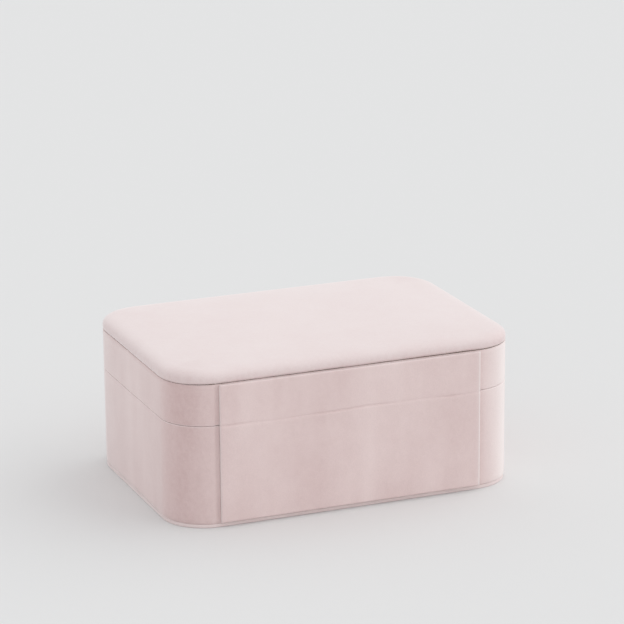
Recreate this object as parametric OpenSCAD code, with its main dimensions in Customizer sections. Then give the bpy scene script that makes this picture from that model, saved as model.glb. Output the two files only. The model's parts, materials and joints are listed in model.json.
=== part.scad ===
// Velvet-covered jewelry box: a base with a lift-out tray, and a padded lid whose front
// panel hangs down as a magnetic flap. Origin: centre of the underside. Front: -Y.

/* [Overall size] */
// Width of the box, left to right
box_w = 260; // [230:1:330]
// Depth of the box, front to back, without the flap and the hinge barrels
box_d = 180; // [160:1:240]
// Height of the parting line between base and lid
base_h = 74; // [66:1:100]
// Height of the lid's upright band
lid_h = 29.6; // [26:0.2:45]
// Height of the padded top at its middle
pad_h = 10.9; // [8:0.1:18]
// Radius of the upright corners
corner_r = 32; // [24:1:42]

/* [Walls and coverings] */
// Thickness of the board in the walls
wall_t = 4; // [3.2:0.1:6]
// Thickness of the bottom board
plate_t = 3; // [2:0.1:5]
// Thickness of the lid's top board
lid_board_t = 3; // [2:0.1:5]
// Thickness of the velvet on the outside
velvet_t = 1.2; // [0.8:0.1:2]
// Thickness of the lining inside
lining_t = 0.8; // [0.5:0.1:1.5]
// Thickness of the floor pad in the base
floor_pad_t = 3; // [2:0.1:5]
// Gap between base and lid when shut
part_gap = 0.6; // [0.4:0.1:1]

/* [Front flap] */
// Thickness of the flap's board
flap_board_t = 1.2; // [1:0.1:2]
// Thickness of the velvet on the flap
flap_velvet_t = 0.45; // [0.3:0.05:0.8]
// Gap between the hanging flap and the base
flap_gap = 0.3; // [0.2:0.05:0.6]
// Space without board at each side of the crease
crease_gap = 2.2; // [2:0.1:4]
// Radius of the flap's magnets
magnet_r = 5; // [3:0.5:8]
// Thickness of the flap's magnets
magnet_t = 0.9; // [0.6:0.1:1]
// Distance of each magnet from the middle
magnet_x = 62; // [30:1:80]
// Height of the magnets
magnet_z = 30; // [15:1:50]
// Thickness of the steel keeper plates in the base
keeper_t = 0.8; // [0.5:0.1:1.2]

/* [Hinges] */
// Distance of each hinge from the middle
hinge_x = 70; // [40:1:90]
// Length of a hinge along its barrel
hinge_len = 36; // [24:1:50]
// Height of a hinge leaf
leaf_h = 14; // [10:1:18]
// Thickness of a hinge leaf
leaf_t = 0.8; // [0.6:0.1:1]
// Outer radius of the hinge barrel
barrel_r = 2.4; // [2:0.1:3]
// Radius of the hinge pin
pin_r = 1; // [0.7:0.05:1.3]
// Clearance between pin and barrel
pin_gap = 0.05; // [0.02:0.01:0.08]
// Radius of a hinge screw's shank
screw_r = 0.9; // [0.7:0.05:1.1]
// Length of a hinge screw
screw_len = 3; // [2:0.1:3]

/* [Lift-out tray] */
// Height of the tray
tray_h = 30; // [24:1:34]
// Depth of the tray's rim under the parting line
tray_drop = 2; // [1:0.5:5]
// Thickness of the tray's walls and floor
tray_t = 2.4; // [1.5:0.1:4]
// Thickness of the tray's lining
tray_lining_t = 0.6; // [0.4:0.1:1]
// Gap around the tray
tray_gap = 2; // [1.6:0.1:2.6]
// Thickness of every divider
divider_t = 2.4; // [1.5:0.1:4]
// Depth of the dividers' top edge under the rim
divider_drop = 4; // [2:0.5:8]
// Width of the ring section, between its dividers
ring_w = 100; // [80:1:110]
// Thickness of a ring roll
roll_t = 13.6; // [12:0.1:14]
// Height of a ring roll
roll_h = 21; // [16:0.5:22]
// Width of the tray's ribbon pulls
pull_w = 14; // [8:1:20]
// Height of the ribbon pulls above the dividers
pull_h = 6; // [4:0.5:7]

/* [Mirror] */
// Width of the mirror glass
mirror_w = 206; // [140:1:216]
// Depth of the mirror glass
mirror_d = 126; // [90:1:134]
// Thickness of the mirror glass
mirror_t = 2; // [1.5:0.1:3]
// Thickness of the surround in front of the glass
surround_t = 3; // [2:0.1:5]
// Overlap of the surround on the glass
surround_lap = 3; // [2:0.5:6]

/* [Hidden] */
$fn = 64;

// Small clearances, and how far a cut runs past what it cuts
eps = 0.01;
fit = 0.15;
over = 1;

// Ring rolls: how many, the space between two, and from one to the next
ring_count = 7;
roll_gap = 0.4;
ring_pitch = roll_t + roll_gap;

// Heights
seam_z = base_h + lid_h;
base_top = base_h - part_gap / 2;
lid_bottom = base_h + part_gap / 2;
base_cap_z = base_top - velvet_t;
lid_cap_z = lid_bottom + velvet_t;
lid_board_z = seam_z - lid_board_t;
mirror_z = lid_board_z - mirror_t;
surround_z = mirror_z - surround_t;
pad_floor_z = plate_t + floor_pad_t;
tray_top = base_h - tray_drop;
tray_z = tray_top - tray_h;
divider_top = tray_top - divider_drop;
tray_floor = tray_z + tray_t + tray_lining_t;

// Insets from the outer outline
wall_in = velvet_t;
lining_in = wall_in + wall_t;
clear_in = lining_in + lining_t;
tray_in = clear_in + tray_gap;
tray_lining_in = tray_in + tray_t;
tray_clear_in = tray_lining_in + tray_lining_t;

// Half sizes
half_w = box_w / 2;
half_d = box_d / 2;

// Lower level: the ledges under the tray, and the place of the cross divider
ledge_t = 4;
ledge_len = 80;
ledge_h = 4;
lower_cross_x = 34;
under_tray = 0.5;

// Insets of the bottom board and of the cushion's board, and the thickness of the latter
plate_in = 0.4;
pad_board_in = 4;
pad_board_t = 2;

// Flap: its front face, its hinge line and its edges
flap_w = box_w - 2 * corner_r;
flap_front = half_d + flap_gap + 2 * flap_velvet_t + flap_board_t;
flap_axis_in = 0.7;
flap_axis_y = half_d + flap_gap + flap_axis_in;
flap_top_gap = 0.4;
flap_top_z = seam_z - flap_top_gap;
flap_bottom_gap = 0.6;
flap_bottom_z = plate_t + flap_bottom_gap;
crease_under = 1.6;
tongue_t = 0.5;
tongue_gap = 0.5;
keeper_r = magnet_r + 1;

// Hinge: the barrel's axis is the top rear edge of the base
leaf_y = half_d - velvet_t - leaf_t;
leaf_clear = 0.3;
leaf_start = barrel_r + leaf_clear;
knuckle_len = hinge_len / 3;
knuckle_gap = 0.2;
screw_head_r = 1.8;
screw_head_t = 0.5;
screw_spread = hinge_len / 3;
screw_fit = 0.05;
head_fit = 0.1;
recess_gap = 0.2;
notch_gap = 0.5;
notch_end_gap = 0.4;
notch_r = barrel_r + notch_gap;

pull_t = 0.8;

// Colours
blush = [0.85, 0.76, 0.75];
suede = [0.89, 0.82, 0.81];
board = [0.72, 0.66, 0.58];
steel = [0.72, 0.72, 0.74];
glass = [0.80, 0.86, 0.90];

// Outline of the box moved inwards by an inset, as a plate with a height
module plate(inset, z, h) {
  w = box_w - 2 * inset;
  d = box_d - 2 * inset;
  r = corner_r - inset;
  translate([0, 0, z]) union() {
    translate([-w / 2 + r, -d / 2, 0]) cube([w - 2 * r, d, h]);
    translate([-w / 2, -d / 2 + r, 0]) cube([w, d - 2 * r, h]);
    for (x = [-1, 1], y = [-1, 1])
      translate([x * (w / 2 - r), y * (d / 2 - r), 0]) cylinder(r = r, h = h);
  }
}

// Closed band between two insets
module band(outer, inner, z, h) {
  difference() {
    plate(outer, z, h);
    plate(inner, z - over, h + 2 * over);
  }
}

// Box given by its low corner and its high corner
module block(low, high) {
  translate(low) cube(high - low);
}

// Room for the hinge barrels at the rear of the parting line
module barrel_notches() {
  for (side = [-1, 1])
    translate([side * hinge_x, half_d, base_h])
      block([-hinge_len / 2 - notch_end_gap, -notch_r, -notch_r],
            [hinge_len / 2 + notch_end_gap, notch_r, notch_r]);
}

// Positions of a leaf's two screws, at a height from the hinge line
module at_screws(dir) {
  z = base_h + dir * (leaf_start + leaf_h / 2);
  for (side = [-1, 1], end = [-1, 1])
    translate([side * hinge_x + end * screw_spread, half_d - velvet_t, z])
      rotate([90, 0, 0]) children();
}

// Recess in a wall for both leaves, with the screws' pilot holes
module leaf_recess(dir) {
  z_end = base_h + dir * (leaf_start + leaf_h + recess_gap);
  reach = hinge_len / 2 + recess_gap;
  for (side = [-1, 1])
    block([side * hinge_x - reach, leaf_y, min(base_h, z_end)],
          [side * hinge_x + reach, half_d, max(base_h, z_end)]);
  at_screws(dir) cylinder(r = screw_r + screw_fit, h = leaf_t + screw_len + 2 * recess_gap);
}

// Bottom board, covered, that shows as a thin line under the walls
module base_plate() {
  color(blush) plate(plate_in, 0, plate_t);
}

// Upright wall of the base
module base_wall() {
  color(board) difference() {
    band(wall_in, lining_in, plate_t, base_cap_z - plate_t);
    barrel_notches();
    leaf_recess(-1);
    for (side = [-1, 1])
      translate([side * magnet_x, -half_d + velvet_t - over, magnet_z])
        rotate([-90, 0, 0]) cylinder(r = keeper_r + fit, h = keeper_t + over);
  }
}

// Velvet around the base, turned in over the wall's top edge
module base_cover() {
  color(blush) difference() {
    union() {
      band(0, wall_in, plate_t, base_top - plate_t);
      band(0, clear_in, base_cap_z, velvet_t);
    }
    barrel_notches();
  }
}

// Lining on the inside of the base wall
module base_lining() {
  color(suede) band(lining_in, clear_in, plate_t, base_cap_z - plate_t);
}

// Soft floor of the base
module base_floor_pad() {
  color(suede) plate(clear_in + fit, plate_t, floor_pad_t);
}

// Divider of the lower level, from front to back
module lower_divider_cross() {
  y = half_d - clear_in;
  color(suede) block([lower_cross_x - divider_t / 2, -y, pad_floor_z],
                     [lower_cross_x + divider_t / 2, y, tray_z - under_tray]);
}

// Divider of the lower level, from the left side to the cross divider
module lower_divider_long() {
  color(suede) block([-half_w + clear_in, -divider_t / 2, pad_floor_z],
                     [lower_cross_x - divider_t / 2, divider_t / 2,
                      tray_z - ledge_h - under_tray]);
}

// Strip that carries the tray, at one side
module tray_ledge(side) {
  x = half_w - clear_in;
  color(suede) block([min(side * x, side * (x - ledge_t)), -ledge_len / 2, tray_z - ledge_h],
                     [max(side * x, side * (x - ledge_t)), ledge_len / 2, tray_z]);
}

// Steel disc in the front wall that the flap's magnet pulls on
module keeper_plate(side) {
  color(steel) translate([side * magnet_x, -half_d + velvet_t, magnet_z])
    rotate([-90, 0, 0]) cylinder(r = keeper_r, h = keeper_t);
}

// Knuckle of a hinge with its bore, from x0 over a length
module knuckle(x0, len) {
  translate([x0, half_d, base_h]) rotate([0, 90, 0]) cylinder(r = barrel_r, h = len);
}

// Leaf of a hinge: a plate with screw holes, and knuckles joined to it by short tabs
module hinge_leaf(side, dir, knuckles) {
  x = side * hinge_x;
  z0 = base_h + dir * leaf_start;
  z1 = base_h + dir * (leaf_start + leaf_h);
  color(steel) difference() {
    union() {
      block([x - hinge_len / 2, leaf_y, min(z0, z1)],
            [x + hinge_len / 2, leaf_y + leaf_t, max(z0, z1)]);
      for (k = knuckles) {
        x0 = x - hinge_len / 2 + k * knuckle_len + knuckle_gap / 2;
        len = knuckle_len - knuckle_gap;
        knuckle(x0, len);
        block([x0, leaf_y, min(base_h, z0 + dir * eps)],
              [x0 + len, leaf_y + leaf_t, max(base_h, z0 + dir * eps)]);
      }
    }
    translate([x - hinge_len / 2 - over, half_d, base_h])
      rotate([0, 90, 0]) cylinder(r = pin_r + pin_gap, h = hinge_len + 2 * over);
    at_screws(dir) cylinder(r = screw_r + screw_fit, h = leaf_t + over);
    at_screws(dir) translate([0, 0, -over])
      cylinder(r = screw_head_r + head_fit, h = over + screw_head_t);
  }
}

// Pin of a hinge, held in the outer knuckles
module hinge_pin(side) {
  color(steel) translate([side * hinge_x - hinge_len / 2, half_d, base_h])
    rotate([0, 90, 0]) cylinder(r = pin_r, h = hinge_len);
}

// Screws of both leaves on one side of the parting line
module leaf_screws(dir) {
  color(steel) at_screws(dir) {
    cylinder(r = screw_head_r, h = screw_head_t);
    cylinder(r = screw_r, h = screw_head_t + screw_len);
  }
}

// Tray: a floor and an upright wall in one moulding
module tray_shell() {
  color(board) difference() {
    plate(tray_in, tray_z, tray_h);
    plate(tray_lining_in, tray_z + tray_t, tray_h);
  }
}

// Lining of the tray
module tray_lining() {
  color(suede) difference() {
    plate(tray_lining_in, tray_z + tray_t, tray_h - tray_t);
    plate(tray_clear_in, tray_floor, tray_h);
  }
}

// Tray divider that runs from front to back at x
module tray_divider_along(x) {
  y = half_d - tray_clear_in;
  color(suede) block([x - divider_t / 2, -y, tray_floor], [x + divider_t / 2, y, divider_top]);
}

// Tray divider that runs from x0 to x1 at y
module tray_divider_across(x0, x1, y) {
  color(suede) block([x0, y - divider_t / 2, tray_floor], [x1, y + divider_t / 2, divider_top]);
}

ring_x = ring_w / 2 + divider_t / 2;
ring_front = -half_d + tray_clear_in;
ring_back = ring_front + ring_count * ring_pitch + roll_gap;
side_x0 = ring_x + divider_t / 2;
side_x1 = half_w - tray_clear_in;
side_third = (box_d - 2 * tray_clear_in) / 6;

// Padded roll number n from the front, with a round top
module ring_roll(n) {
  y = ring_front + (n - 0.5) * ring_pitch + roll_gap / 2;
  len = ring_w - 2 * fit;
  r = roll_t / 2;
  color(suede) translate([-len / 2, y, tray_floor]) {
    block([0, -r, 0], [len, r, roll_h - r]);
    translate([0, 0, roll_h - r]) rotate([0, 90, 0]) cylinder(r = r, h = len);
  }
}

// Ribbon that lifts the tray, at one side
module tray_pull(side) {
  color(blush) block([min(side * side_x1, side * (side_x1 - pull_t)), -pull_w / 2, divider_top],
                     [max(side * side_x1, side * (side_x1 - pull_t)), pull_w / 2,
                      divider_top + pull_h]);
}

// Upright wall of the lid
module lid_wall() {
  color(board) difference() {
    band(wall_in, lining_in, lid_cap_z, lid_board_z - lid_cap_z);
    barrel_notches();
    leaf_recess(1);
  }
}

// Velvet around the lid, turned in over the wall's lower edge
module lid_cover() {
  color(blush) difference() {
    union() {
      band(0, wall_in, lid_bottom, seam_z - lid_bottom);
      band(0, clear_in, lid_bottom, velvet_t);
    }
    barrel_notches();
  }
}

// Top board of the lid
module lid_board() {
  color(board) plate(wall_in, lid_board_z, lid_board_t);
}

// Lining on the inside of the lid wall
module lid_lining() {
  color(suede) band(lining_in, clear_in, lid_cap_z, lid_board_z - lid_cap_z);
}

// Mirror glass on the underside of the top board
module mirror_glass() {
  color(glass) block([-mirror_w / 2, -mirror_d / 2, mirror_z],
                     [mirror_w / 2, mirror_d / 2, lid_board_z]);
}

// Covered frame that holds the mirror
module mirror_surround() {
  w = mirror_w / 2 - surround_lap;
  d = mirror_d / 2 - surround_lap;
  color(suede) difference() {
    plate(clear_in + fit, surround_z, surround_t + mirror_t);
    block([-mirror_w / 2 - fit, -mirror_d / 2 - fit, mirror_z],
          [mirror_w / 2 + fit, mirror_d / 2 + fit, lid_board_z + over]);
    block([-w, -d, surround_z - over], [w, d, lid_board_z]);
  }
}

// Cushion profile from the seam to the crown: insets, and heights as shares of pad_h
pad_steps = [[1.2, 0], [0.3, 0.1], [0, 0.28], [0.6, 0.5], [2.2, 0.66], [5, 0.74],
             [14, 0.82], [50, 0.96], [70, 1]];

// Cushion shape, made smaller by a skin
module cushion(skin) {
  h = pad_h - skin;
  hull() for (p = pad_steps)
    plate(p[0] + skin, seam_z + p[1] * h - (p[1] > 0 ? eps : 0), eps, $fn = 32);
}

// Board that carries the cushion
module pad_board() {
  color(board) plate(pad_board_in, seam_z, pad_board_t);
}

// Foam of the cushion
module pad_foam() {
  color(board) difference() {
    cushion(velvet_t);
    plate(pad_board_in, seam_z - over, pad_board_t + over);
  }
}

// Velvet over the cushion
module pad_cover() {
  color(blush) difference() {
    cushion(0);
    cushion(velvet_t);
    plate(pad_board_in, seam_z - over, pad_board_t + over);
  }
}

// Block across the front panel between two heights, from y0 to y1 measured forwards
module panel(side_in, y0, y1, z0, z1) {
  block([-flap_w / 2 + side_in, -y1, z0], [flap_w / 2 - side_in, -y0, z1]);
}

// Board in the fixed top strip of the front panel
module flap_top_board() {
  v = flap_velvet_t;
  color(board) panel(v, half_d + flap_gap + v, flap_front - v,
                     base_h + crease_gap + v, flap_top_z - v);
}

// Velvet around the fixed strip, with a tongue down to the crease
module flap_top_cover() {
  v = flap_velvet_t;
  color(blush) difference() {
    union() {
      panel(0, half_d, flap_front, base_h + crease_gap, flap_top_z);
      panel(0, flap_axis_y - tongue_t / 2, flap_axis_y + tongue_t / 2,
            base_h + tongue_gap, base_h + crease_gap + eps);
    }
    panel(v, half_d + flap_gap + v, flap_front - v,
          base_h + crease_gap + v, flap_top_z - v);
  }
}

// Board in the hanging flap, with pockets for the magnets
module flap_board() {
  v = flap_velvet_t;
  back = half_d + flap_gap + v;
  color(board) difference() {
    panel(v, back, back + flap_board_t, flap_bottom_z + v, base_h - crease_under - v);
    for (side = [-1, 1])
      translate([side * magnet_x, -back + over, magnet_z])
        rotate([90, 0, 0]) cylinder(r = magnet_r + fit, h = magnet_t + over);
  }
}

// Velvet around the hanging flap, with a tongue up to the crease
module flap_cover() {
  v = flap_velvet_t;
  back = half_d + flap_gap;
  color(blush) difference() {
    union() {
      panel(0, back, flap_front, flap_bottom_z, base_h - crease_under);
      panel(0, flap_axis_y - tongue_t / 2, flap_axis_y + tongue_t / 2,
            base_h - crease_under - eps, base_h - tongue_gap);
    }
    panel(v, back + v, flap_front - v, flap_bottom_z + v, base_h - crease_under - v);
  }
}

// Magnet in the flap
module flap_magnet(side) {
  color(steel) translate([side * magnet_x, -half_d - flap_gap - flap_velvet_t, magnet_z])
    rotate([90, 0, 0]) cylinder(r = magnet_r, h = magnet_t);
}

base_plate();
base_wall();
base_cover();
base_lining();
base_floor_pad();
lower_divider_cross();
lower_divider_long();
tray_ledge(-1);  // tray_ledge_left
tray_ledge(1);  // tray_ledge_right
keeper_plate(-1);  // keeper_plate_left
keeper_plate(1);  // keeper_plate_right
hinge_leaf(-1, -1, [0, 2]);  // hinge_base_leaf_left
hinge_leaf(1, -1, [0, 2]);  // hinge_base_leaf_right
hinge_pin(-1);  // hinge_pin_left
hinge_pin(1);  // hinge_pin_right
leaf_screws(-1);  // base_leaf_screws
tray_shell();
tray_lining();
tray_divider_along(-ring_x);  // tray_divider_left
tray_divider_along(ring_x);  // tray_divider_right
tray_divider_across(-ring_w / 2, ring_w / 2, ring_back + divider_t / 2);  // tray_divider_rings
tray_divider_across(-side_x1, -side_x0, 0);  // tray_divider_left_cross
tray_divider_across(side_x0, side_x1, -side_third);  // tray_divider_right_front
tray_divider_across(side_x0, side_x1, side_third);  // tray_divider_right_back
tray_pull(-1);  // tray_pull_left
tray_pull(1);  // tray_pull_right
ring_roll(1);  // ring_roll_1
ring_roll(2);  // ring_roll_2
ring_roll(3);  // ring_roll_3
ring_roll(4);  // ring_roll_4
ring_roll(5);  // ring_roll_5
ring_roll(6);  // ring_roll_6
ring_roll(7);  // ring_roll_7
lid_wall();
lid_cover();
lid_board();
lid_lining();
mirror_glass();  // mirror
mirror_surround();
pad_board();
pad_foam();
pad_cover();
hinge_leaf(-1, 1, [1]);  // hinge_lid_leaf_left
hinge_leaf(1, 1, [1]);  // hinge_lid_leaf_right
leaf_screws(1);  // lid_leaf_screws
flap_top_board();
flap_top_cover();
flap_board();
flap_cover();
flap_magnet(-1);  // flap_magnet_left
flap_magnet(1);  // flap_magnet_right
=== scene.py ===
"""Velvet jewelry box: padded lid with a mirror, magnetic front flap, lift-out tray with ring rolls.

Metres. Origin at the centre of the underside, front towards -Y, up +Z.
"""
import json
import math

import bmesh
import bpy
from mathutils import Matrix, Vector, noise


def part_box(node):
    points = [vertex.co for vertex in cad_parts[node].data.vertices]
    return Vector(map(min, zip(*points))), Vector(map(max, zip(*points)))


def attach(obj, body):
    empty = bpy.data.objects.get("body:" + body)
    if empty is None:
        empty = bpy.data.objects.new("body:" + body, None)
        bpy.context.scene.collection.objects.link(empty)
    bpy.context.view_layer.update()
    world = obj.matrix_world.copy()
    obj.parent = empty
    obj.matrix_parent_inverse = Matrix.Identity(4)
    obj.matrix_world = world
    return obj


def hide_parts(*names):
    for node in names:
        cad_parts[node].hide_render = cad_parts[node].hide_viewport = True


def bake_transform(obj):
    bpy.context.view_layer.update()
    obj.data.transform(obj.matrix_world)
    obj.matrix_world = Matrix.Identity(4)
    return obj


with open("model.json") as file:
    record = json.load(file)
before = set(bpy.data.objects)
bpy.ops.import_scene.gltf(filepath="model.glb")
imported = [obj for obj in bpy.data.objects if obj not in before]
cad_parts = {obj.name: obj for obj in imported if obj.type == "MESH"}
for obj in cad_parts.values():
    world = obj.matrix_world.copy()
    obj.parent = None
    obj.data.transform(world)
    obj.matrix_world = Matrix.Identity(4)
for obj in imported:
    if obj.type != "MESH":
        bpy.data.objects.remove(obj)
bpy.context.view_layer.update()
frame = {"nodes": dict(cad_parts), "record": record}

MM = 0.001

# ------------------------------------------------------------------ sizes, read from the frame


def span(node):
    """Lowest and highest corner of a node, as two vectors."""
    low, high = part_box(node)
    return Vector(low), Vector(high)


COVER_LOW, COVER_HIGH = span("base_cover")
PLATE_LOW, PLATE_HIGH = span("base_plate")
LID_LOW, LID_HIGH = span("lid_cover")
PAD_LOW, _ = span("pad_cover")
_, STRIP_HIGH = span("flap_top_cover")
FLAP_LOW, FLAP_HIGH = span("flap_cover")
LINING_LOW, LINING_HIGH = span("base_lining")
SHELL_LOW, SHELL_HIGH = span("tray_shell")
TRAY_LOW, TRAY_HIGH = span("tray_lining")
SURROUND_LOW, SURROUND_HIGH = span("mirror_surround")
MIRROR_LOW, MIRROR_HIGH = span("mirror")

BOX_W = COVER_HIGH.x - COVER_LOW.x
BOX_D = COVER_HIGH.y - COVER_LOW.y
CORNER_R = (BOX_W - (FLAP_HIGH.x - FLAP_LOW.x)) / 2
BASE_TOP = COVER_HIGH.z
LID_BOTTOM = LID_LOW.z
PARTING = (BASE_TOP + LID_BOTTOM) / 2
SEAM = PAD_LOW.z
# How far the walls' velvet reaches past the face of the lining
VELVET_REACH = 0.8 * MM
CLEAR_IN = (BOX_W - (LINING_HIGH.x - LINING_LOW.x)) / 2 + VELVET_REACH

# ------------------------------------------------------------------ camera, floor and light

LENS_MM = 173.8
SENSOR_MM = 36.0
AZIMUTH = math.radians(-22.08)
ELEVATION = math.radians(16.54)
ROLL = math.radians(-0.43)
DISTANCE = 2.195
AIM_SIDE = 0.0060
AIM_UP = 0.1140
FLOOR_SIZE = 14.0
FLOOR_COLOUR = (0.80, 0.802, 0.80, 1.0)
ROOM_COLOUR = (0.985, 0.99, 1.0, 1.0)
ROOM_STRENGTH = 0.84
WINDOW_FROM = (1.0, -0.12, 0.6)
WINDOW_STRENGTH = 0.82
WINDOW_SPREAD = 85.0
WINDOW_COLOUR = (1.0, 0.99, 0.975)


def new_object(name, data):
    """New object that holds data, linked to the scene."""
    made = bpy.data.objects.new(name, data)
    bpy.context.scene.collection.objects.link(made)
    return made


def place_camera():
    """Long lens from the front left, a little above the lid."""
    back = Vector((math.sin(AZIMUTH) * math.cos(ELEVATION),
                   -math.cos(AZIMUTH) * math.cos(ELEVATION),
                   math.sin(ELEVATION)))
    right = Vector((math.cos(AZIMUTH), math.sin(AZIMUTH), 0.0))
    up = back.cross(right)
    c, s = math.cos(ROLL), math.sin(ROLL)
    right, up = right * c + up * s, up * c - right * s
    data = bpy.data.cameras.new("camera")
    data.lens = LENS_MM
    data.sensor_width = SENSOR_MM
    data.clip_start = 0.05
    data.clip_end = 60.0
    data.dof.use_dof = False
    camera = new_object("camera", data)
    turned = Matrix((right, up, back)).transposed()
    camera.rotation_euler = turned.to_euler()
    camera.location = right * AIM_SIDE + up * AIM_UP + back * DISTANCE
    bpy.context.scene.camera = camera


def broad_light(name, towards, strength, spread, colour):
    """Even soft light from far away, that comes from the direction towards."""
    data = bpy.data.lights.new(name, "SUN")
    data.energy = strength
    data.angle = math.radians(spread)
    data.color = colour
    light = new_object(name, data)
    light.location = Vector(towards) * 3.0
    light.rotation_euler = Vector(towards).to_track_quat("Z", "Y").to_euler()


def light_studio():
    """Pale even room, with one large window-like light at the right and a little behind."""
    world = bpy.data.worlds.new("studio")
    bpy.context.scene.world = world
    world.use_nodes = True
    background = world.node_tree.nodes["Background"]
    background.inputs["Color"].default_value = ROOM_COLOUR
    background.inputs["Strength"].default_value = ROOM_STRENGTH
    broad_light("window", WINDOW_FROM, WINDOW_STRENGTH, WINDOW_SPREAD, WINDOW_COLOUR)
    scene = bpy.context.scene
    scene.view_settings.view_transform = "Standard"
    scene.view_settings.look = "None"
    scene.view_settings.exposure = 0.0


def pale_floor():
    """Plain floor that runs past the view on every side."""
    mesh = bpy.data.meshes.new("floor")
    half = FLOOR_SIZE / 2
    mesh.from_pydata([(-half, -half, 0), (half, -half, 0), (half, half, 0), (-half, half, 0)],
                     [], [(0, 1, 2, 3)])
    floor = new_object("floor", mesh)
    material = bpy.data.materials.new("floor_paper")
    material.use_nodes = True
    shader = material.node_tree.nodes["Principled BSDF"]
    shader.inputs["Base Color"].default_value = FLOOR_COLOUR
    shader.inputs["Roughness"].default_value = 0.9
    shader.inputs["Specular IOR Level"].default_value = 0.1
    mesh.materials.append(material)


# ------------------------------------------------------------------ shader helpers

WHITE = (1.0, 1.0, 1.0, 1.0)
LIGHTEST_SPECK = 1.03


class Tree:
    """Short way to add and join nodes in one node tree."""

    def __init__(self, tree):
        self.tree = tree

    def node(self, kind, inputs=None, **settings):
        made = self.tree.nodes.new(kind)
        for key, value in settings.items():
            setattr(made, key, value)
        for key, value in (inputs or {}).items():
            socket = made.inputs[key]
            if isinstance(value, bpy.types.NodeSocket):
                self.tree.links.new(value, socket)
            else:
                socket.default_value = value
        return made

    def link(self, out, into):
        self.tree.links.new(out, into)

    def maths(self, operation, a, b=0.0, c=0.0, clamp=False):
        made = self.node("ShaderNodeMath", {0: a, 1: b, 2: c}, operation=operation)
        made.use_clamp = clamp
        return made.outputs[0]

    def mix(self, factor, a, b, blend="MIX"):
        made = self.node("ShaderNodeMix", {0: factor, 6: a, 7: b}, data_type="RGBA",
                         blend_type=blend)
        return made.outputs[2]

    def noise(self, vector, scale, detail=3.0, roughness=0.5):
        made = self.node("ShaderNodeTexNoise",
                         {"Vector": vector, "Scale": scale, "Detail": detail,
                          "Roughness": roughness})
        return made.outputs["Fac"]

    def stretched(self, scale):
        """Object coordinates, stretched by a scale on each axis."""
        coords = self.node("ShaderNodeTexCoord").outputs["Object"]
        return self.node("ShaderNodeMapping", {"Vector": coords, "Scale": scale}).outputs[0]

    def spread(self, value, low, high, to_low=0.0, to_high=1.0):
        made = self.node("ShaderNodeMapRange",
                         {"Value": value, "From Min": low, "From Max": high,
                          "To Min": to_low, "To Max": to_high})
        made.clamp = True
        return made.outputs[0]

    def mask(self, name):
        """Value that the mesh carries on its points."""
        return self.node("ShaderNodeAttribute", attribute_name=name).outputs["Fac"]

    def tint(self, colour, amount, shade):
        """Colour, multiplied towards a shade by an amount."""
        return self.mix(1.0, colour, self.mix(amount, WHITE, shade), "MULTIPLY")

    def speckle(self, colour, grain, low, high, darkest):
        """Colour, made a little darker and lighter by a fine grain."""
        speck = self.spread(grain, low, high, darkest, LIGHTEST_SPECK)
        shade = self.node("ShaderNodeCombineColor", {0: speck, 1: speck, 2: speck}).outputs[0]
        return self.mix(1.0, colour, shade, "MULTIPLY")


def new_group(name, inputs, outputs):
    """Empty shader group with named inputs (name, kind, default) and outputs (name, kind)."""
    group = bpy.data.node_groups.new(name, "ShaderNodeTree")
    for title, kind, default in inputs:
        socket = group.interface.new_socket(title, in_out="INPUT", socket_type=kind)
        socket.default_value = default
    for title, kind in outputs:
        group.interface.new_socket(title, in_out="OUTPUT", socket_type=kind)
    tree = Tree(group)
    start = tree.node("NodeGroupInput")
    end = tree.node("NodeGroupOutput")
    return group, tree, start, end


FLOAT = "NodeSocketFloat"
COLOUR = "NodeSocketColor"

# Scale, detail and roughness of the noises that make the pile
STREAK_NOISE = (62.0, 2.0, 0.45)
BROAD_NOISE = (21.0, 2.0, 0.45)
BLOTCH_NOISE = (38.0, 4.0, 0.6)
FIBRE_NOISE = (2600.0, 2.0, 0.6)
MOTTLE_NOISE = (330.0, 3.0, 0.65)
STREAK_SHARE = 0.35
BROAD_SHARE = 0.65
# Colour of the painted highlight on folded edges
FOLD_HIGHLIGHT_COLOUR = (0.94, 0.88, 0.87, 1.0)


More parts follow.
